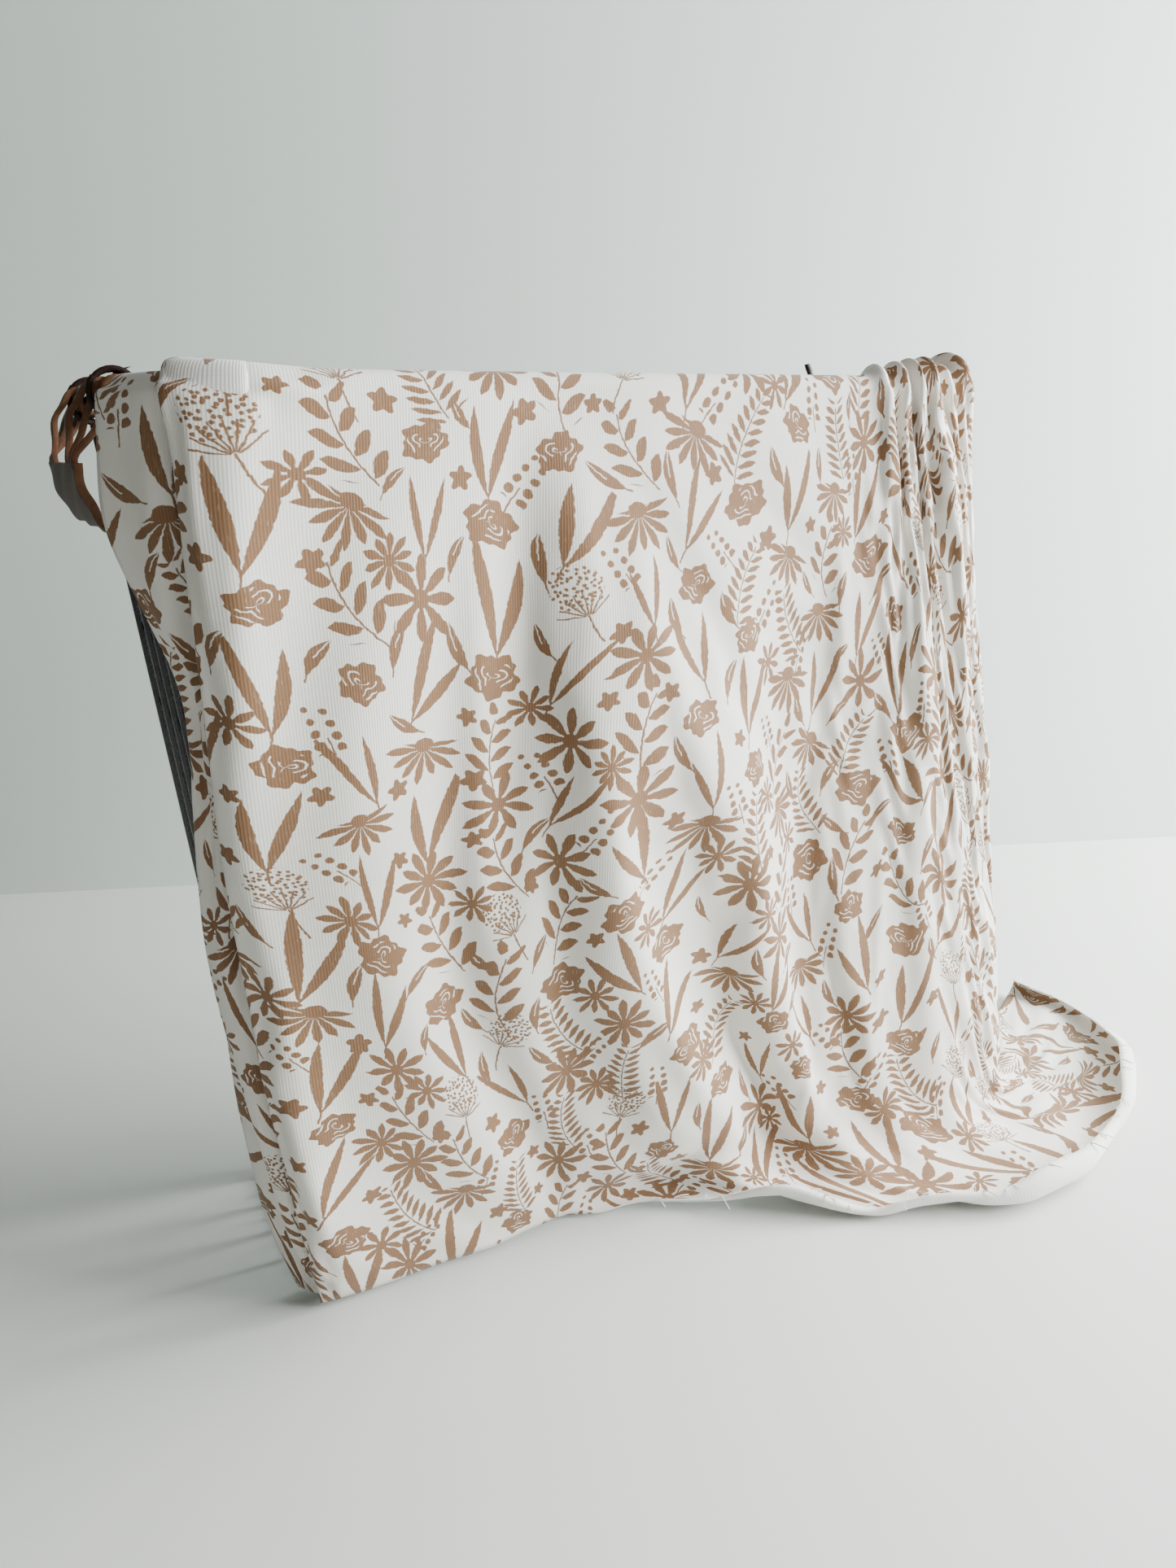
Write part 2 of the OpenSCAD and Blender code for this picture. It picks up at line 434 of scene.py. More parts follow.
def smooth_line(values, reach=2):
    """The same line with its corners rounded off."""
    before, after = 2 * values[:1] - values[reach:0:-1], 2 * values[-1:] - values[-2:-reach - 2:-1]
    ends = np.concatenate([before, values, after])
    weights = np.hanning(2 * reach + 3)[1:-1]
    return np.convolve(ends, weights / weights.sum(), "valid")


plan = np.zeros((count, len(LEVELS), 2))
hem = np.zeros((count, 2))
for k in range(2):
    for level in range(len(LEVELS)):
        plan[:, level, k] = smooth_line(np.interp(columns, key_u, key_plan[:, level, k]))
    hem[:, k] = smooth_line(np.interp(columns, key_u, key_hem[:, k]))
lead = np.gradient(plan[:, :, 0], axis=0), np.gradient(plan[:, :, 1], axis=0)
norm = np.hypot(*lead) + 1e-9
away = np.stack([lead[1] / norm, -lead[0] / norm], axis=-1)
away[columns < 0.11] = (-0.45, -0.89)
print(count, "columns")

# %% [markdown]
# Extra cloth stands out in folds. The long ones on the front run slantwise down to the
# right, because the cloth is dragged that way. Those of the gather start close together
# on the rim, differ in width and depth, and open towards the table.

# %% Folds of the layout
GATHER = np.array([0.330, 0.352, 0.380, 0.399, 0.428, 0.449, 0.472])
DEPTH = np.array([0.55, 0.9, 0.65, 1.1, 0.7, 0.9, 0.7])
# ridges: height in mm, half width across in mm, then place across in mm at each level
RIDGES = [
    (16.0, 16, [150, 166, 182, 206, 236, 258, 270]),
    (-9.0, 14, [178, 196, 212, 236, 266, 290, 300]),
    (7.0, 12, [214, 226, 238, 262, 292, 312, 318]),
    (3.5, 9, [262, 270, 276, 286, 298, 308, 312]),
    (-3.0, 9, [282, 290, 296, 304, 314, 324, 330]),
    (3.0, 14, [112, 116, 120, 126, 134, 142, 150]),
    (-2.5, 12, [136, 141, 147, 157, 170, 186, 196]),
]
ridge_gain = np.interp(levels_t, [0, 0.1, 0.35, 0.8, 1.0], [0.0, 0.35, 1.0, 1.0, 0.8])


def fold_depth(u, t):
    """How far the cloth stands out of its plan line at place u and depth t of the fall."""
    gain = np.interp(t, levels_t, ridge_gain)
    out = 0.0
    for height, wide, path in RIDGES:
        middle = np.interp(t, levels_t, path) * MM
        out += gain * height * MM * math.exp(-((u - middle) / (wide * MM)) ** 2)
    shifted = u + 0.006 * math.sin(5 * t + 30 * u) * min(1, 2 * t)
    if shifted > GATHER[0]:
        k = min(np.searchsorted(GATHER, shifted) - 1, len(GATHER) - 2)
        share = (shifted - GATHER[k]) / (GATHER[k + 1] - GATHER[k])
        depth = DEPTH[k] * (1 + 0.35 * math.sin(9 * t + 4 * k))
        size = np.interp(t, [0, 0.06, 0.2, 0.6, 1.0, 1.3], [0.0042, 0.0038, 0.0030, 0.0026, 0.0022, 0.0010])
        out += size * depth * (1 - math.cos(2 * math.pi * share))
    return out


# %% One thread from the inside of the basket to the hem
inside = 0.045
over = rim_wire + 0.0022
curl = np.interp(columns, [0, 0.20, 0.24, 0.31, 0.36, 0.40, 0.44, 0.472],
                 [0.0, 0.0, 0.0016, 0.0030, 0.0050, 0.0060, 0.0048, 0.0030])
curl *= 1 + 0.3 * np.sin(columns * 95)


def thread(i):
    """Dense points down column i, with the place along the thread that is zero on the rim."""
    u = columns[i]
    points = []
    bulge = fold_depth(u, 0.0)
    nx, ny = away[i, 0]
    cx, cy = plan[i, 0, 0] - nx * over, plan[i, 0, 1] - ny * over
    if u < 0.112:                                     # doubled layers ride on one another
        lift = np.interp(u, [0, 0.042, 0.052, 0.067, 0.075, 0.112], [0.0, 0.0, 0.0015, 0.002, 0.0035, 0.0003])
        near = wall_point(np.interp(u, key_u, [k[1][0] for k in LEFT] + [r[1] for r in RIGHT]) * MM, rim_z, 0)
        cx, cy, bulge = near[0], near[1], bulge + lift
        nx, ny = plan[i, 0, 0] - cx, plan[i, 0, 1] - cy
        size = math.hypot(nx, ny) + 1e-9
        nx, ny = nx / size, ny / size
    for down in np.linspace(inside, 0, 12):           # hangs inside the front wall
        off = -(over + 0.4 * bulge * math.exp(-down / 0.02) + 0.13 * down)
        points.append((cx + nx * off, cy + ny * off, rim_z - down))
    crest = None
    for a in np.radians(np.linspace(-75, 75, 14)):    # over the wire
        r = over + bulge * (0.55 + 0.45 * math.cos(a))
        points.append((cx + nx * r * math.sin(a), cy + ny * r * math.sin(a), rim_z + r * math.cos(a)))
        if crest is None and a >= 0:
            crest = len(points) - 1
    ts = np.linspace(0.012, 1, 70)
    x, y = np.interp(ts, levels_t, plan[i, :, 0]), np.interp(ts, levels_t, plan[i, :, 1])
    x[3:-3], y[3:-3] = smooth_line(x, 3)[3:-3], smooth_line(y, 3)[3:-3]
    ax, ay = np.interp(ts, levels_t, away[i, :, 0]), np.interp(ts, levels_t, away[i, :, 1])
    base_z = LEVELS[0] - ts * FALL
    run = np.array([hem[i, 0] - x[-1], hem[i, 1] - y[-1]])
    lie = float(np.hypot(*run))
    swing = min(np.interp(u, [0.34, 0.40], [0.045, 0.020]), 0.75 * lie)     # the fall eases into the lying part
    if lie > 0.004:
        near_floor = base_z < LYING + swing
    else:
        near_floor = np.zeros(len(ts), bool)
    for k, t in enumerate(ts):
        if near_floor[k]:
            break
        d = fold_depth(u, t)
        points.append((x[k] + ax[k] * d, y[k] + ay[k] * d, base_z[k]))
    if lie > 0.004:
        way = run / lie
        a0 = np.array([x[k], y[k], base_z[k]])
        a1 = np.array([x[-1], y[-1], LYING])
        a2 = np.array([x[-1] + way[0] * swing, y[-1] + way[1] * swing, LYING])
        for w in np.linspace(0, 1, 16):
            q = a0 * (1 - w) ** 2 + a1 * 2 * w * (1 - w) + a2 * w * w
            d = fold_depth(u, 1 - 0.1 * (1 - w)) * (1 - 0.35 * w)
            face = math.cos(w * math.pi / 2)
            points.append((q[0] + ax[-1] * d * face, q[1] + ay[-1] * d * face, q[2] + d * (1 - face) * 0.9))
        for w in np.linspace(0, 1, 24)[1:]:
            far = swing + (lie - swing) * w
            d = fold_depth(u, 1 + 0.3 * w) * 0.60
            points.append((x[-1] + way[0] * far, y[-1] + way[1] * far, LYING + d))
        r = curl[i]
        if r > 0.0005:                                # the raw edge rolls up and back
            last = points[-1]
            for a in np.radians(np.linspace(15, 205, 14)):
                points.append((last[0] + way[0] * r * math.sin(a), last[1] + way[1] * r * math.sin(a),
                               last[2] + r * (1 - math.cos(a))))
    points = np.array(points)
    steps = np.concatenate([[0], np.cumsum(np.linalg.norm(np.diff(points, axis=0), axis=1))])
    return points, steps, steps[crest]


ROWS = 86
RIM_ROWS, RIM_REACH, INSIDE_ROWS = 14, 0.013, 6       # rows close together over the wire
start = np.zeros((count, ROWS, 3))
flat = np.zeros((count, ROWS, 2))
for i in range(count):
    points, steps, zero = thread(i)
    want = np.concatenate([np.linspace(0, zero - RIM_REACH, INSIDE_ROWS, endpoint=False),
                           np.linspace(zero - RIM_REACH, zero + RIM_REACH, RIM_ROWS, endpoint=False),
                           np.linspace(zero + RIM_REACH, steps[-1], ROWS - INSIDE_ROWS - RIM_ROWS)])
    for k in range(3):
        start[i, :, k] = np.interp(want, steps, points[:, k])
    flat[i, :, 0] = columns[i]
    flat[i, :, 1] = zero - want
for k in range(3):                                    # one pass of smoothing along the rows
    start[1:-1, :, k] = 0.25 * start[:-2, :, k] + 0.5 * start[1:-1, :, k] + 0.25 * start[2:, :, k]
order = np.arange(count * ROWS).reshape(count, ROWS)
faces = np.stack([order[:-1, :-1], order[:-1, 1:], order[1:, 1:], order[1:, :-1]], -1).reshape(-1, 4)
start, flat = start.reshape(-1, 3), flat.reshape(-1, 2)
print(len(start), "crossings,", len(faces), "faces; thread length", round(float(-flat[:, 1].min()), 3), "m")

wrap = new_piece("wrap_cloth", start, faces.tolist())
wrap_mesh = wrap.data
uv = wrap_mesh.uv_layers.new(name="cut")
corners_of = np.zeros(len(wrap_mesh.loops), np.int32)
wrap_mesh.loops.foreach_get("vertex_index", corners_of)
uv.data.foreach_set("uv", (flat[corners_of] * 1000).astype(np.float32).ravel())

# %% [markdown]
# ## Letting it fall
# The thin wires would let single threads slip between them, so the cloth falls against a
# smooth tapered shell that stands for the whole row of uprights, and against the table.
# The part over the rim wire, the left edge and the hem are pinned, and the gather is held
# softly. The simulated result is then applied, so that the finished mesh has no Cloth left.

# %% Colliders
def shell(name, grow):
    """Tapered wall of the basket, from just under the rim down to the table."""
    points, walls = [], []
    levels = [0.0, 0.1, 0.2, 0.3, rim_z]
    turns = [s * MM for s in range(-300, 301, 6)]
    for z in levels:
        for s in turns:
            x, y = wall_point(s, z, grow)
            points.append((x, y, z))
    n = len(turns)
    for k in range(len(levels) - 1):
        for i in range(n - 1):
            walls.append((k * n + i, k * n + i + 1, (k + 1) * n + i + 1, (k + 1) * n + i))
    return new_piece(name, points, walls)


def square(name, reach):
    """Flat square on the table's level, facing up."""
    corners = [(-reach, -reach, 0), (reach, -reach, 0), (reach, reach, 0), (-reach, reach, 0)]
    return new_piece(name, corners, [(0, 1, 2, 3)])


def solid_to_cloth(body, thickness, friction):
    body.modifiers.new("Collision", "COLLISION")
    body.collision.thickness_outer = thickness
    body.collision.thickness_inner = 0.002
    body.collision.cloth_friction = friction


wall = shell("wall_collider", 0.0015)
floor_stop = square("table_collider", 1)
solid_to_cloth(wall, 0.001, 8)
solid_to_cloth(floor_stop, 0.001, 40)

# %% Cloth settings
pinned = wrap.vertex_groups.new(name="held")
held = [k for k, (u, v) in enumerate(flat) if v > -0.012]
held += [i * ROWS + ROWS - 1 for i in range(count)]        # the hem lies still on the table
held += list(range(ROWS))                                  # the left edge clings to the wires
pinned.add(held, 1.0, "REPLACE")
propped = sorted({k for k, (u, v) in enumerate(flat) if u > 0.33} - set(held))
pinned.add(propped, 0.35, "REPLACE")                       # folds that prop one another up
fall = wrap.modifiers.new("Cloth", "CLOTH")
jersey = fall.settings
jersey.quality = 6
jersey.mass = 0.10
jersey.air_damping = 2.0
jersey.tension_stiffness = 40
jersey.compression_stiffness = 25
jersey.shear_stiffness = 4
jersey.bending_stiffness = 0.35
jersey.tension_damping = jersey.compression_damping = 10
jersey.shear_damping = 8
jersey.vertex_group_mass = "held"
fall.collision_settings.collision_quality = 3
fall.collision_settings.distance_min = 0.0015
fall.collision_settings.use_self_collision = True
fall.collision_settings.self_distance_min = 0.0014
fall.collision_settings.self_friction = 5

# %% Fall
FRAMES = 3 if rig.quick() else 16
scene.frame_start, scene.frame_end = 1, FRAMES
fall.point_cache.frame_start, fall.point_cache.frame_end = 1, FRAMES
for step in range(1, FRAMES + 1):
    scene.frame_set(step)
fallen = wrap.evaluated_get(bpy.context.evaluated_depsgraph_get())
settled = np.array([v.co for v in fallen.data.vertices])
settled[:, 2] = np.maximum(settled[:, 2], 0.0012)
print("lowest", settled[:, 2].min(), "box", settled.min(0).round(3), settled.max(0).round(3),
      "moved", round(float(np.abs(settled - start).max()), 4))
wrap.modifiers.remove(fall)
wrap_mesh.vertices.foreach_set("co", settled.astype(np.float32).ravel())
wrap_mesh.update()
bpy.data.objects.remove(wall)
bpy.data.objects.remove(floor_stop)

# %% [markdown]
# ## The print
# The jersey carries a one-colour garden print: daisies, cone flowers, loose blooms, umbels
# of dots, leafy sprigs, ferns, blades and small fillers, drawn with a dry brush. A picture
# file would be the usual way. Here each motif is a short formula for how far a point lies
# inside its outline, in millimetres on the flat cut of the cloth, so the pattern follows
# every fold and stays sharp at any distance. A diamond lattice with loosened cells draws
# lots in every cell: which motif, how it leans and how large it is.

# %% Motif formulas
TURN = 2 * math.pi


class Drawing:
    """Motifs of one print. Every motif returns millimetres inside its outline."""

    def __init__(self, finish, place):
        self.finish, self.place = finish, place
        self.inked = None

    def vector(self, operation, a, b=None, scale=None):
        inputs = {0: a}
        if b is not None:
            inputs[1] = b
        if scale is not None:
            inputs["Scale"] = scale
        return self.finish.add("VectorMath", {"operation": operation}, inputs).outputs[0]

    def turned(self, place, angle):
        return self.finish.add("VectorRotate", {"rotation_type": "Z_AXIS"},
                               {"Vector": place, "Angle": angle}).outputs[0]

    def lots(self, cell, seed):
        """Three random numbers of a cell."""
        moved = self.vector("ADD", cell, (seed, 3.7 * seed, 0.0))
        grain = self.finish.add("TexWhiteNoise", {"noise_dimensions": "2D"}, {"Vector": moved})
        split = self.finish.add("SeparateColor", {}, {0: grain.outputs["Color"]})
        return [self.finish.value(o) for o in split.outputs[:3]]

    def cells(self, pitch, shift, seed, jitter, lean, small, large):
        """Local x and y in every diamond cell, and numbers to draw lots with."""
        slant = self.turned(self.place, math.radians(45))
        moved = self.vector("ADD", slant, (shift[0], shift[1], 0.0))
        unit = self.vector("SCALE", moved, scale=1 / pitch)
        cell = self.vector("FLOOR", unit)
        inner = self.vector("SUBTRACT", unit, cell)
        first, second, third = self.lots(cell, seed)
        fourth, fifth, sixth = self.lots(cell, seed + 11.0)
        nudge = self.finish.add("CombineXYZ", {}, {
            0: (fourth - 0.5) * (jitter / pitch) + 0.5, 1: (fifth - 0.5) * (jitter / pitch) + 0.5})
        local = self.vector("SUBTRACT", inner, nudge.outputs[0])
        angle = (second - 0.5) * math.radians(2 * lean) - math.radians(45)
        local = self.turned(local, angle)
        split = self.finish.add("SeparateXYZ", {}, {0: local})
        stretch = pitch / (third * (large - small) + small)
        x, y = self.finish.value(split.outputs[0]) * stretch, self.finish.value(split.outputs[1]) * stretch
        return x, y, first, sixth

    def draw_lot(self, lot, *motifs):
        """Inks the motif whose turn it is in this cell."""
        which = (lot * len(motifs)).whole()
        for k, inside in enumerate(motifs):
            inside = inside - abs(which - float(k)) * 60.0
            self.inked = inside if self.inked is None else self.inked.high(inside)

    def polar(self, x, y):
        return (x * x + y * y).root(), y.maths("ARCTAN2", x)

    def lens(self, along, low, high, width):
        """Half width of a leaf that runs from low to high."""
        return (along - low) * (high - along) * (4 * width / (high - low) ** 2)

    def petals(self, r, a, count, reach, width, start=1.0, seed=0.0):
        k = a * (count * (1 / TURN)) + 20.0
        f = k.part()
        t = r * (((k - f) * 2.4 + seed).sine() * 0.09 + 1.0) * (1 / reach)
        square = t * t
        paddle = t * (1.0 - square * square) * (1.87 * width)
        return paddle.low((r - start) * 2.0) - abs(f - 0.5) * r * (TURN / count)

    def daisy(self, x, y, lot, reach=13.8, width=2.05, core=3.1):
        r, a = self.polar(x, y)
        count = (lot * 3.0).whole() + 8.0
        return self.petals(r, a, count, reach, width, 0.8, lot * 20.0).high(core - r)

    def cone(self, x, y, lot, reach=13.5):
        """A daisy seen from the side: petals hang below a domed heart."""
        r, a = self.polar(x * 0.88, y - 3.0)
        petal = self.petals(r, a, 13.0, reach, 1.5, 0.6, lot * 20.0).low(5.5 - y)
        dx, dy = x * 0.8, y - 4.5
        heart = 3.3 - (dx * dx + dy * dy * 1.4).root()
        return petal.high(heart)

    def bloom(self, x, y, lot, reach=9.5):
        """A loose flower head with light arcs brushed through it."""
        r, a = self.polar(x, y * 1.2)
        edge = (a * 5.0 + lot * 6.0).sine() * (0.11 * reach) + (a * 11.0).sine() * (0.06 * reach) + reach
        arcs = abs((r * 0.36 + (a * 3.0 + lot * 9.0).sine() * 0.5).part() - 0.5) * 2.6
        gap = (arcs - 0.30).high((a * 2.0 + lot * 12.0).sine() * 1.6 - 0.2).high((r - 0.80 * reach) * 0.8)
        return (edge - r).low(gap)

    def sprig(self, x, y, half=16.0, pitch=8.2, leaf=11.0, width=2.1, lean=0.72, stem=0.34, stagger=0.5):
        """Leaves in pairs up a bent stem."""
        x = x - y * y * 0.012 + 1.0
        side = x.maths("SIGN")
        out = abs(x)
        q = y - out * lean + side * (pitch * stagger * 0.5)
        e = (q * (1 / pitch) + 40.0).part() - 0.5
        size = 1.0 / math.hypot(1.0, lean)
        taper = 1.0 - y * (0.30 / half)
        run = out * (1 / size) / taper
        leaves = (self.lens(run, 0.5, leaf, width) - abs(e) * (pitch * size)).low(half - abs(q + half * 0.15))
        return leaves.high((stem - out).low(half - abs(y + half * 0.25)))

    def blades(self, x, y, lot, half=16.0, width=2.2):
        """Two long leaves from one foot."""
        up = y + half
        path = up * 0.34 - up * up * 0.0035
        left = abs(abs(x + up * (lot - 0.5) * 0.15) - path)
        short = 1.0 + x.maths("SIGN") * (lot - 0.5) * 0.35
        blade = self.lens(up * short, 0.0, 2 * half, width) - left
        return blade.high((0.34 - abs(x)).low(4.0 - abs(up + 2.0)))

    def umbel(self, x, y, reach=8.6):
        """A head of dots on a fan of stalks."""
        r, a = self.polar(x, y - 5.0)
        pair = self.finish.add("CombineXYZ", {}, {0: x, 1: y}).outputs[0]
        cell = self.finish.add("TexVoronoi", {"voronoi_dimensions": "2D", "feature": "F1"},
                               {"Vector": pair, "Scale": 0.56, "Randomness": 0.8})
        dot = (0.34 - self.finish.value(cell.outputs["Distance"])) * 1.9
        head = dot.low(reach - r).low(y + 1.5)
        foot = y + 6.0
        fr, fa = self.polar(x, foot)
        ray = abs((fa * (1 / 0.33)).part() - 0.5) * fr * 0.33
        fan = (0.30 - ray).low(fr - 1.0).low(9.5 - fr).low(foot - abs(x) * 0.3)
        stalk = (0.36 - abs(x - foot * foot * 0.012)).low(0.8 - foot).low(foot + 13.0)
        return head.high(fan).high(stalk)

    def berries(self, x, y, half=12.0, pitch=4.4, size=1.5):
        """Round berries either side of a fine stalk."""
        side = x.maths("SIGN")
        e = ((y * (1 / pitch) + 20.0 + side * 0.25).part() - 0.5) * pitch
        reach = abs(x) - 2.4 + y * 0.06
        ball = size - y * 0.05 - (reach * reach + e * e).root()
        return ball.low(half - abs(y)).high((0.3 - abs(x)).low(5.0 - abs(y + half)))

    def filler(self, x, y, reach=4.0):
        r, a = self.polar(x, y)
        return (a * 5.0).sine() * (0.2 * reach) + 0.85 * reach - r

    def leaf(self, x, y, half=7.5, width=2.0):
        x = x - y * y * 0.02
        rib = abs(x) - 0.18
        return (self.lens(y, -half, half, width) - abs(x)).low(rib.high(-y - half * 0.1)).high(
            (0.3 - abs(x)).low(2.0 - abs(y + half)))


# %% [markdown]
# The print layer sits in the knit: the ribs of the knit show through it, the brush left
# dry streaks, and the ink is matt. The reverse of the cloth is left unprinted.

# %% Jersey finishes
def cut_place(finish):
    """The flat cut in millimetres, with a hand's unsteadiness added."""
    place = finish.add("UVMap", {"uv_map": "cut"}).outputs["UV"]
    slow = finish.add("TexNoise", {}, {"Vector": place, "Scale": 0.017, "Detail": 0.0})
    fast = finish.add("TexNoise", {}, {"Vector": place, "Scale": 0.55, "Detail": 1.0})
    out = place
    for noise, amount in ((slow, 14.0), (fast, 0.9)):
        centred = finish.add("VectorMath", {"operation": "SUBTRACT"},
                             {0: noise.outputs["Color"], 1: (0.5, 0.5, 0.5)})
        moved = finish.add("VectorMath", {"operation": "SCALE"}, {0: centred.outputs[0], "Scale": amount})
        out = finish.add("VectorMath", {"operation": "ADD"}, {0: out, 1: moved.outputs[0]}).outputs[0]
    return place, out


def knit(finish, place):
    """Ribs of the knit, zero to one, from which the callers make a soft bump."""
    split = finish.add("SeparateXYZ", {}, {0: place})
    u, v = finish.value(split.outputs[0]), finish.value(split.outputs[1])
    rib = (u * (TURN / 0.85)).sine() * 0.5 + 0.5
    row = (v * (TURN / 0.6) + rib * 2.0).sine() * 0.5 + 0.5
    return rib * 0.7 + row * 0.3


def jersey_print():
    cloth = Finish("jersey_print")
    place, loose = cut_place(cloth)
    drawing = Drawing(cloth, loose)
    x, y, lot, extra = drawing.cells(33.0, (0, 0), 1.0, 4.0, 32, 0.80, 0.95)
    drawing.draw_lot(lot, drawing.daisy(x, y, extra), drawing.bloom(x, y, extra),
                     drawing.cone(x, y, extra), drawing.umbel(x, y), drawing.bloom(x, y, extra, 8.0))
    x, y, lot, extra = drawing.cells(33.0, (16.5, 16.5), 5.0, 4.0, 36, 0.84, 1.02)
    drawing.draw_lot(lot, drawing.sprig(x, y), drawing.blades(x, y, extra),
                     drawing.sprig(x, y, 16.0, 3.9, 8.5, 1.15, 0.55, 0.30, 0.0),
                     drawing.blades(x, y, extra, 14.0, 1.6))
    x, y, lot, extra = drawing.cells(33.0, (16.5, 0), 9.0, 4.0, 60, 0.80, 1.10)
    drawing.draw_lot(lot, drawing.filler(x, y), drawing.leaf(x, y), drawing.daisy(x, y, extra, 8.5, 1.25, 2.0))
    x, y, lot, extra = drawing.cells(33.0, (0, 16.5), 13.0, 4.0, 50, 0.80, 1.10)
    drawing.draw_lot(lot, drawing.leaf(x, y), drawing.berries(x, y, 8.0, 4.0, 1.3), drawing.filler(x, y, 3.4))
    shape = (drawing.inked * (1 / 0.26) + 0.5).clamp()
    streak_place = cloth.add("Mapping", {}, {"Vector": place, "Scale": (1.6, 0.30, 1.0),
                                             "Rotation": (0.0, 0.0, 0.5)}).outputs[0]
    streak = ((cloth.noise(streak_place, 1.0, 3.0, 0.6) - 0.60) * 7.0).clamp()
    rib = knit(cloth, place)
    ink = shape * (1.0 - streak * 0.20) * (rib * 0.08 + 0.94)
    uneven = cloth.noise(place, 0.03, 2.0)
    ground = cloth.mix(uneven, (0.80, 0.762, 0.70, 1), (0.86, 0.828, 0.775, 1))
    ground = cloth.mix(rib * 0.16, ground, (0.70, 0.66, 0.60, 1))
    brown = cloth.mix(uneven, (0.182, 0.084, 0.030, 1), (0.230, 0.111, 0.043, 1))
    return cloth.principled(Base_Color=cloth.mix(ink.clamp(), ground, brown), Roughness=0.88 - ink * 0.06,
                            Normal=cloth.bump(rib, 0.00009, 0.55), Sheen_Weight=0.15, Sheen_Roughness=0.5)


def jersey_back():
    cloth = Finish("jersey_back")
    place = cloth.add("UVMap", {"uv_map": "cut"}).outputs["UV"]
    rib = knit(cloth, place)
    cloudy = cloth.noise(place, 0.05, 3.0)
    tint = cloth.mix(cloudy, (0.83, 0.80, 0.765, 1), (0.89, 0.87, 0.84, 1))
    return cloth.principled(Base_Color=cloth.mix(rib * 0.14, tint, (0.72, 0.69, 0.65, 1)), Roughness=0.92,
                            Normal=cloth.bump(rib, 0.0001, 0.6), Sheen_Weight=0.2, Sheen_Roughness=0.5)


wrap_mesh.materials.append(jersey_print())
wrap_mesh.materials.append(jersey_back())
print("print uses", len(wrap_mesh.materials[0].node_tree.nodes), "nodes")

# %% Finish the cloth mesh
for polygon in wrap_mesh.polygons:
    polygon.use_smooth = True
smooth = wrap.modifiers.new("Subdivision", "SUBSURF")
smooth.levels = smooth.render_levels = 1
thick = wrap.modifiers.new("Solidify", "SOLIDIFY")
thick.thickness = 0.0008
thick.offset = -1
thick.material_offset = 1
thick.material_offset_rim = 1
cut = flat.reshape(count, ROWS, 2)
cut_area = float((np.diff(columns)[:, None] * -np.diff((cut[1:, :, 1] + cut[:-1, :, 1]) / 2, axis=1)).sum())
print("area of the cut", round(cut_area, 4), "m2")

# %% [markdown]
# ## Leather handles
# Each handle is one strap of thick leather, cut at both ends into three thongs. The thongs
# bow out to different depths, twist, and are lashed round the rim wire. On the real thing
# they are cut with a knife, so the cut edges stay pale and a little rough, while the hair
# side is brown and the flesh side is dark. A ribbon swept along a path keeps those three
# faces apart, and each gets its own finish.

# %% Leather finishes
def leather(name, dark, light, rough, grain):
    hide = Finish(name)
    mm = place_mm(hide)
    cloudy = hide.noise(mm, 0.06, 4.0, 0.6)
    pores = hide.add("TexVoronoi", {"feature": "F1"}, {"Vector": mm, "Scale": grain, "Randomness": 1.0})
    pore = hide.value(pores.outputs["Distance"])
    crease = hide.noise(mm, 0.5, 5.0, 0.65)
    share = (cloudy * 1.5 - 0.35 + (crease - 0.5) * 0.8).clamp()
    return hide.principled(Base_Color=hide.mix(share, dark, light), Roughness=rough + crease * 0.18,
                           Specular_IOR_Level=0.22, Normal=hide.bump(pore * 0.5 + crease, 0.00012, 0.5))


hair_side = leather("leather_hair_side", (0.026, 0.010, 0.005, 1), (0.062, 0.024, 0.011, 1), 0.50, 1.1)
flesh_side = leather("leather_flesh_side", (0.016, 0.006, 0.003, 1), (0.042, 0.016, 0.008, 1), 0.70, 0.8)
cut_edge = leather("leather_cut_edge", (0.085, 0.036, 0.017, 1), (0.260, 0.125, 0.066, 1), 0.62, 1.6)
dark_thong = leather("dark_thong", (0.012, 0.007, 0.005, 1), (0.045, 0.022, 0.014, 1), 0.45, 1.2)

# %% [markdown]
# The strap hangs on an upright oval: out from the rim, down, and back in below. The band
# takes the lower half of the oval, the thongs the upper half.

# %% Swept ribbons
HIDE = 0.0026
DROP, BOW = 0.0225, 0.0125
THONG_Y = (0.0240, 0.0300, 0.0360)
THONG_BOW = (0.0128, 0.0076, 0.0026)


def oval(a, bow):
    """Point beside and below the rim at angle a, as outward and upward distances."""
    return np.array([0.002 + bow * math.cos(a), 0.004 - DROP + DROP * math.sin(a)])


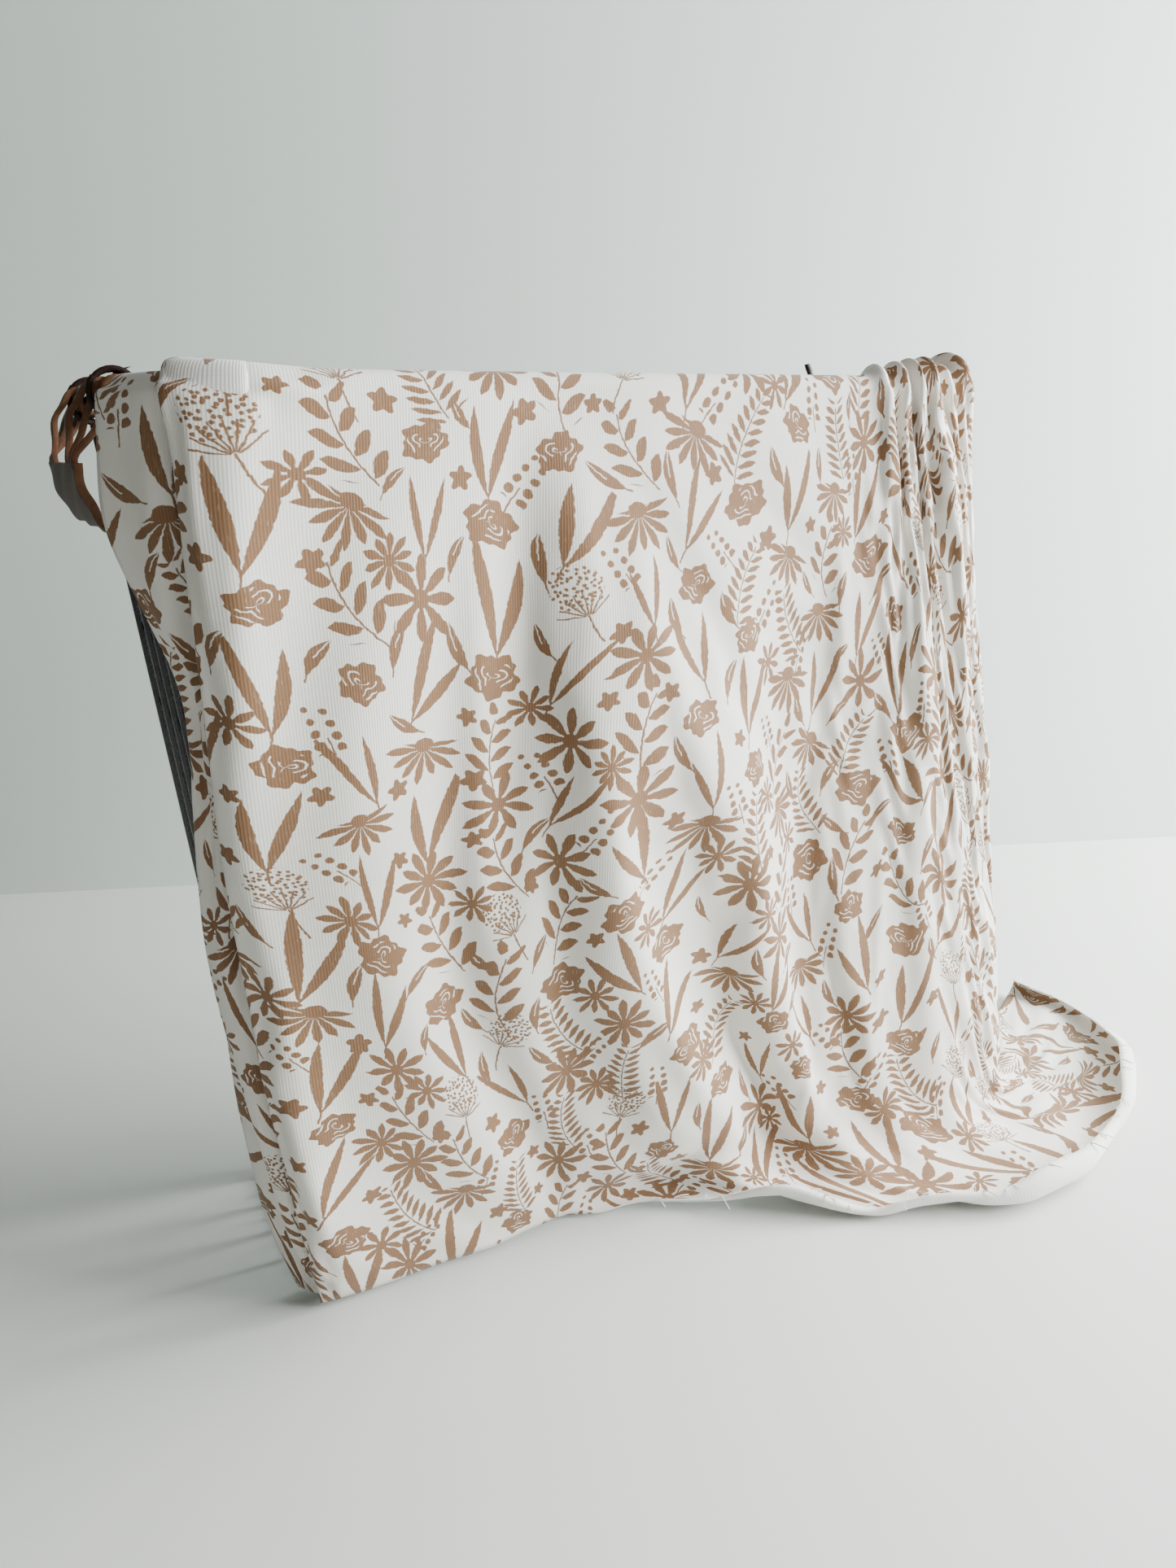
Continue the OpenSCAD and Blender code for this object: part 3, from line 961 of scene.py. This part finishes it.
def ribbon(store, path, across, width, lean=None, thick=HIDE):
    """Adds a flat ribbon along a path in the plane of out and up, to a store of mesh parts."""
    path = np.array(path)
    ahead = np.gradient(path, axis=0)
    ahead /= np.linalg.norm(ahead, axis=1)[:, None]
    across = np.tile(np.array(across, float), (len(path), 1))
    up = np.cross(ahead, across)
    up /= np.linalg.norm(up, axis=1)[:, None]
    across = np.cross(up, ahead)
    if lean is not None:
        c, s = np.cos(lean)[:, None], np.sin(lean)[:, None]
        across, up = across * c + up * s, up * c - across * s
    m = max(2, int(width / 0.004))
    places = np.linspace(-width / 2, width / 2, m + 1)
    base = len(store["points"])
    for i in range(len(path)):
        for w in places:
            wave = 0.0004 * math.sin(w * 170 + i * 0.9)
            store["points"].append(path[i] + across[i] * w + up[i] * (thick / 2 + wave))
        for w in places:
            wave = 0.0004 * math.sin(w * 170 + i * 0.9)
            store["points"].append(path[i] + across[i] * w - up[i] * (thick / 2 - wave))
    row = 2 * (m + 1)

    def at(i, side, j):
        return base + i * row + side * (m + 1) + j

    for i in range(len(path) - 1):
        for j in range(m):
            store["faces"].append((at(i, 0, j), at(i, 0, j + 1), at(i + 1, 0, j + 1), at(i + 1, 0, j)))
            store["slots"].append(0)
            store["faces"].append((at(i, 1, j + 1), at(i, 1, j), at(i + 1, 1, j), at(i + 1, 1, j + 1)))
            store["slots"].append(1)
        store["faces"].append((at(i, 0, 0), at(i + 1, 0, 0), at(i + 1, 1, 0), at(i, 1, 0)))
        store["faces"].append((at(i, 1, m), at(i + 1, 1, m), at(i + 1, 0, m), at(i, 0, m)))
        store["slots"] += [2, 2]
    last = len(path) - 1
    for j in range(m):
        store["faces"].append((at(0, 0, j + 1), at(0, 0, j), at(0, 1, j), at(0, 1, j + 1)))
        store["faces"].append((at(last, 0, j), at(last, 0, j + 1), at(last, 1, j + 1), at(last, 1, j)))
        store["slots"] += [2, 2]


def strap(side, name):
    """The whole strap of one handle; side is +1 at the right end, -1 at the left."""
    store = {"points": [], "faces": [], "slots": []}
    rim_x = half_w * side

    def place(a, bow, y):
        out, rise = oval(a, bow)
        return (rim_x + side * out, y, rim_z + rise)

    band_way = [place(a, BOW, 0.0) for a in np.radians(np.linspace(-66, -3, 14))]
    ribbon(store, band_way, (0, -side, 0), 0.084)
    for end in (-1, 1):
        for k in range(3):
            angles = np.radians(np.linspace(-10, 84, 20))
            ease = np.clip((np.degrees(angles) + 5) / 45, 0, 1)
            ease = ease * ease * (3 - 2 * ease)
            bows = BOW + (THONG_BOW[k] - BOW) * ease
            slip = 0.0012 * np.sin(angles * 2 + k)
            way = [place(a, b, end * (THONG_Y[k] + s)) for a, b, s in zip(angles, bows, slip)]
            lean = end * np.radians(8) * ease * k
            ribbon(store, way, (0, -side, 0), 0.0038, lean, 0.0019)
    piece = new_piece(name, store["points"], store["faces"])
    mesh = piece.data
    mesh.polygons.foreach_set("material_index", np.array(store["slots"], np.int32))
    for material in (hair_side, flesh_side, cut_edge):
        mesh.materials.append(material)
    tidy = bmesh.new()
    tidy.from_mesh(mesh)
    bmesh.ops.recalc_face_normals(tidy, faces=tidy.faces)
    tidy.to_mesh(mesh)
    tidy.free()
    round_off = piece.modifiers.new("Bevel", "BEVEL")
    round_off.width, round_off.segments = 0.0006, 2
    round_off.limit_method, round_off.angle_limit = "ANGLE", math.radians(50)
    for polygon in mesh.polygons:
        polygon.use_smooth = True
    return piece


left_strap, right_strap = strap(-1, "left_strap"), strap(1, "right_strap")
print("straps", [len(s.data.polygons) for s in (left_strap, right_strap)], "faces")

# %% [markdown]
# ## Lashings
# The thong ends are wound round the rim wire. Winding is a repeat along a path, which is
# what Geometry Nodes are for: one helix is swept with the thong's section, and copies of
# it stand in a row with small random turns.

# %% Geometry Nodes group that winds thongs
def open_group(name, sockets):
    """A group with named inputs. Returns it, its inputs and a maker of nodes."""
    group = bpy.data.node_groups.new(name, "GeometryNodeTree")
    for label, kind, value in sockets:
        socket = group.interface.new_socket(label, in_out="INPUT", socket_type="NodeSocket" + kind)
        if value is not None:
            socket.default_value = value
    group.interface.new_socket("Geometry", in_out="OUTPUT", socket_type="NodeSocketGeometry")

    def made(kind, settings=(), **fill):
        node = group.nodes.new(kind)
        for key, value in dict(settings).items():
            setattr(node, key, value)
        for key, value in fill.items():
            plug(group, node.inputs[key.replace("_", " ")], value)
        return node

    return group, made("NodeGroupInput").outputs, made


def close_group(made, given, copies):
    """Turns the copies into one mesh with the material, and hands it out."""
    real = made("GeometryNodeRealizeInstances", Geometry=copies.outputs["Instances"])
    coat = made("GeometryNodeSetMaterial", Geometry=real.outputs["Geometry"], Material=given["Material"])
    made("NodeGroupOutput", Geometry=coat.outputs["Geometry"])


def winding_group():
    group, given, made = open_group("thong_windings", (
        ("Count", "Int", 3), ("Pitch", "Float", 0.006), ("Turns", "Float", 1.5), ("Radius", "Float", 0.0042),
        ("Lead", "Float", 0.0040), ("Width", "Float", 0.0040), ("Thickness", "Float", 0.0018),
        ("Seed", "Int", 1), ("Material", "Material", None)))
    wider = made("ShaderNodeMath", {"operation": "MULTIPLY"})
    plug(group, wider.inputs[0], given["Radius"])
    wider.inputs[1].default_value = 1.10
    helix = made("GeometryNodeCurveSpiral", Resolution=26, Rotations=given["Turns"],
                 Start_Radius=given["Radius"], End_Radius=wider.outputs[0], Height=given["Lead"])
    section = made("GeometryNodeCurvePrimitiveQuadrilateral", Width=given["Thickness"], Height=given["Width"])
    upright = made("GeometryNodeSetCurveNormal", {"mode": "Z_UP"}, Curve=helix.outputs["Curve"])
    swept = made("GeometryNodeCurveToMesh", Fill_Caps=True, Curve=upright.outputs["Curve"],
                 Profile_Curve=section.outputs["Curve"])
    turned = made("GeometryNodeTransform", Rotation=(math.radians(90), 0, 0), Geometry=swept.outputs["Mesh"])
    step = made("ShaderNodeCombineXYZ", Y=given["Pitch"])
    row = made("GeometryNodeMeshLine", Count=given["Count"], Offset=step.outputs[0])
    chance = made("FunctionNodeRandomValue", {"data_type": "FLOAT_VECTOR"}, Min=(-0.06, -0.9, -0.10),
                  Max=(0.06, 0.9, 0.10), Seed=given["Seed"])
    close_group(made, given, made("GeometryNodeInstanceOnPoints", Points=row.outputs["Mesh"],
                                  Instance=turned.outputs["Geometry"], Rotation=chance.outputs["Value"]))
    return group


windings = winding_group()


def wind(name, place, group=windings, source=None, **values):
    """Runs a group with named inputs and returns a plain mesh at the origin."""
    holder = bpy.data.objects.new(name, source or bpy.data.meshes.new(name))
    scene.collection.objects.link(holder)
    modifier = holder.modifiers.new("windings", "NODES")
    modifier.node_group = group
    known = {item.name: item.identifier for item in group.interface.items_tree if item.in_out == "INPUT"}
    for label, value in values.items():
        modifier[known[label]] = value
    holder.update_tag()
    ready = holder.evaluated_get(bpy.context.evaluated_depsgraph_get())
    mesh = bpy.data.meshes.new_from_object(ready)
    holder.modifiers.remove(modifier)
    mesh.transform(Matrix.Translation(place))
    holder.data = mesh
    if not mesh.materials:
        mesh.materials.append(values["Material"])
    return holder


lashings = {}
for side, side_name in ((-1, "left"), (1, "right")):
    for end, end_name in ((-1, "front"), (1, "back")):
        first = end * THONG_Y[1] - 0.006
        lashings[side_name, end_name] = wind(
            f"{side_name}_{end_name}_windings", (side * half_w, first + 0.0018, rim_z),
            Count=3, Pitch=0.006, Turns=1.6, Radius=0.0040, Lead=0.0036, Width=0.0036,
            Thickness=0.0018, Seed=3 + side + 2 * end, Material=cut_edge)
print("windings", {k: len(v.data.polygons) for k, v in lashings.items()}, "faces")

# %% [markdown]
# A dark thong is wound over the lashings and knotted, and its end stands up. The winding
# comes from the same group with other numbers. The loose end is a short tapered tube.

# %% Ties
def loose_end(name, foot, tip, bend, thick):
    """Tapered tube from foot to tip."""
    foot, tip = np.array(foot), np.array(tip)
    points, faces, ring = [], [], 8
    for i, t in enumerate(np.linspace(0, 1, 9)):
        middle = foot + (tip - foot) * t + np.array(bend) * math.sin(math.pi * t)
        r = thick * (1 - 0.35 * t) * (1 + 0.12 * math.sin(9 * t))
        for a in np.linspace(0, TURN, ring, endpoint=False):
            points.append(middle + np.array([r * math.cos(a), 0.7 * r * math.sin(a), 0.2 * r * math.cos(a)]))
    for i in range(8):
        for j in range(ring):
            k = (j + 1) % ring
            faces.append((i * ring + j, i * ring + k, (i + 1) * ring + k, (i + 1) * ring + j))
    faces.append(tuple(range(8 * ring, 9 * ring)))
    faces.append(tuple(range(ring - 1, -1, -1)))
    piece = new_piece(name, points, faces)
    for polygon in piece.data.polygons:
        polygon.use_smooth = len(polygon.vertices) == 4
    piece.data.materials.append(dark_thong)
    return piece


def joined(first, second):
    """Adds the second mesh to the first object."""
    sheet = bmesh.new()
    sheet.from_mesh(first.data)
    sheet.from_mesh(second.data)
    sheet.to_mesh(first.data)
    sheet.free()
    bpy.data.objects.remove(second)
    return first


ties = {}
for side, side_name in ((-1, "left"), (1, "right")):
    for end, end_name in ((-1, "front"), (1, "back")):
        x, y = side * half_w, end * THONG_Y[1]
        tie = wind(f"{side_name}_{end_name}_knot", (x, y + 0.0030, rim_z),
                   Count=1, Pitch=0.0, Turns=2.6, Radius=0.0066, Lead=0.0062, Width=0.0020,
                   Thickness=0.0016, Seed=8 + side, Material=dark_thong)
        reach = 0.0100 if (side, end) == (1, 1) else 0.0015
        foot, tip = (x - side * 0.002, y, rim_z + 0.0055), (x - side * 0.0045, y + 0.001, rim_z + 0.0060 + reach)
        ties[side_name, end_name] = joined(tie, loose_end("loose_end", foot, tip, (side * 0.0008, 0, 0), 0.0021))

# %% Handles join their bodies
for side_name, piece in (("left", left_strap), ("right", right_strap)):
    body = f"{side_name}_handle"
    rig.ride(piece, body)
    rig.replaces(piece, f"{side_name}_band", f"{side_name}_front_thongs", f"{side_name}_back_thongs")
    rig.slot(piece, "leather")
    for end_name in ("front", "back"):
        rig.ride(lashings[side_name, end_name], body)
        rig.replaces(lashings[side_name, end_name], f"{side_name}_{end_name}_lashings")
        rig.slot(lashings[side_name, end_name], "leather")
        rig.ride(ties[side_name, end_name], body)
        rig.replaces(ties[side_name, end_name], f"{side_name}_{end_name}_tie")
        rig.slot(ties[side_name, end_name], "dark_thong")
print("handles ready")

# %% [markdown]
# ## Loose threads
# The hem is cut and never sewn, so it sheds a few short threads where the reverse shows.
# A second node group walks along the hem, picks places by a fixed seed and stands a bent
# hair of jersey yarn on each.

# %% Geometry Nodes group for the raw hem
def thread_group():
    group, given, made = open_group("hem_threads", (
        ("Geometry", "Geometry", None), ("Spacing", "Float", 0.003), ("Share", "Float", 0.5),
        ("Length", "Float", 0.005), ("Thickness", "Float", 0.00022), ("Seed", "Int", 4),
        ("Material", "Material", None)))
    edge = made("GeometryNodeMeshToCurve", Mesh=given["Geometry"])
    even = made("GeometryNodeResampleCurve", {"mode": "LENGTH"}, Curve=edge.outputs["Curve"],
                Length=given["Spacing"])
    hair = made("GeometryNodeCurveQuadraticBezier", Resolution=5, Start=(0, 0, 0),
                Middle=(0.35, 0.10, 0.20), End=(1.0, 0.45, -0.05))
    sized = made("GeometryNodeTransform", Geometry=hair.outputs["Curve"], Scale=given["Length"])
    section = made("GeometryNodeCurvePrimitiveCircle", Resolution=4, Radius=given["Thickness"])
    swept = made("GeometryNodeCurveToMesh", Fill_Caps=True, Curve=sized.outputs["Geometry"],
                 Profile_Curve=section.outputs["Curve"])
    choose, turn, size = (made("FunctionNodeRandomValue", {"data_type": kind}, Seed=given["Seed"])
                          for kind in ("BOOLEAN", "FLOAT_VECTOR", "FLOAT"))
    plug(group, choose.inputs["Probability"], given["Share"])
    turn.inputs["Min"].default_value, turn.inputs["Max"].default_value = (-0.3, -0.2, -2.6), (0.3, 0.2, 0.4)
    size.inputs[2].default_value, size.inputs[3].default_value = 0.5, 1.5
    close_group(made, given, made(
        "GeometryNodeInstanceOnPoints", Points=even.outputs["Curve"], Instance=swept.outputs["Mesh"],
        Selection=choose.outputs[3], Rotation=turn.outputs[0], Scale=size.outputs[1]))
    return group


hem_line = bpy.data.meshes.new("hem_line")
hem_points = settled.reshape(count, ROWS, 3)[columns > 0.225, -1] + (0, 0, 0.0004)
hem_line.from_pydata(hem_points.tolist(), [(k, k + 1) for k in range(len(hem_points) - 1)], [])
threads = wind("hem_threads", (0, 0, 0), group=thread_group(), source=hem_line, Spacing=0.0032,
               Share=0.55, Length=0.0045, Thickness=0.00022, Seed=4, Material=wrap_mesh.materials[1])
print("loose threads", len(threads.data.polygons), "faces")

# %% [markdown]
# ## Table and light
# A pale matt table and broad soft light from the right, with the left side left in gentle
# shade, show both the gloss of the wire and the folds of the cloth.

# %% Stage
WALL = ((-0.212, 0.4765), (0.594, 0.1195))          # foot of the wall behind the table


def painted(piece, name, colour, roughness):
    """Plain matt paint on a piece that isn't part of the object."""
    paint = Finish(name)
    piece.data.materials.append(paint.principled(Base_Color=colour, Roughness=roughness))
    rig.stage(piece)


def soft_light(name, place, target, size, watts, colour):
    lamp = bpy.data.lights.new(name, "AREA")
    lamp.shape, lamp.size, lamp.energy, lamp.color = "SQUARE", size, watts, colour
    stand = bpy.data.objects.new(name, lamp)
    stand.location = place
    stand.rotation_mode = "QUATERNION"
    stand.rotation_quaternion = (Vector(target) - Vector(place)).to_track_quat("-Z", "Y")
    scene.collection.objects.link(stand)
    return stand


def backdrop():
    """A pale wall close behind the table, four of its own lengths past either end."""
    left, right = WALL
    run = ((right[0] - left[0]) * 4, (right[1] - left[1]) * 4)
    a, b = (left[0] - run[0], left[1] - run[1]), (right[0] + run[0], right[1] + run[1])
    return new_piece("backdrop", [(*a, 0), (*b, 0), (*b, 3), (*a, 3)], [(0, 1, 2, 3)])


painted(square("table", 6), "table_paint", (0.68, 0.69, 0.655, 1), 0.7)
painted(backdrop(), "wall_paint", (0.60, 0.66, 0.62, 1), 0.8)
soft_light("window", (0.88, -0.76, 0.50), (-0.02, 0.05, 0.15), 0.50, 28, (0.97, 1.0, 1.0))
soft_light("side_window", (0.92, -0.20, 0.54), (0.0, 0.0, 0.15), 0.55, 33, (0.96, 1.0, 1.01))
soft_light("sky", (0.45, -0.55, 1.6), (0.15, -0.1, 0.0), 0.9, 5, (0.98, 1.0, 1.0))
world = bpy.data.worlds.new("room")
world.use_nodes = True
tree, back = world.node_tree, world.node_tree.nodes["Background"]
way = tree.nodes.new("ShaderNodeTexCoord")
split = tree.nodes.new("ShaderNodeSeparateXYZ")
tree.links.new(way.outputs["Generated"], split.inputs[0])
share = (Sum(tree, split.outputs["X"]) * 0.55 - Sum(tree, split.outputs["Y"]) * 0.25
         + Sum(tree, split.outputs["Z"]) * 0.35 + 0.35).clamp()
tint = tree.nodes.new("ShaderNodeMix")
tint.data_type = "RGBA"
tint.inputs[6].default_value = (0.115, 0.095, 0.065, 1)
tint.inputs[7].default_value = (0.66, 0.68, 0.66, 1)
tree.links.new(share.socket, tint.inputs[0])
tree.links.new(tint.outputs[2], back.inputs["Color"])
back.inputs["Strength"].default_value = 0.30
scene.world = world

# %% Finish
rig.ride(wrap, "wrap_body")
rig.ride(threads, "wrap_body")
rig.slot(threads, "jersey")
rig.replaces(wrap, "wrap")
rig.slot(wrap, "jersey")
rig.sheet(wrap, flat=(0.472, 0.50), held="draped", rests_on=["rim"], area=cut_area, with_pieces=[threads])
with open("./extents.json", "w") as out:
    json.dump({"cad": cad_box, "visual": [list(c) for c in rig.bounds()]}, out)
print("size", json.load(open("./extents.json")))
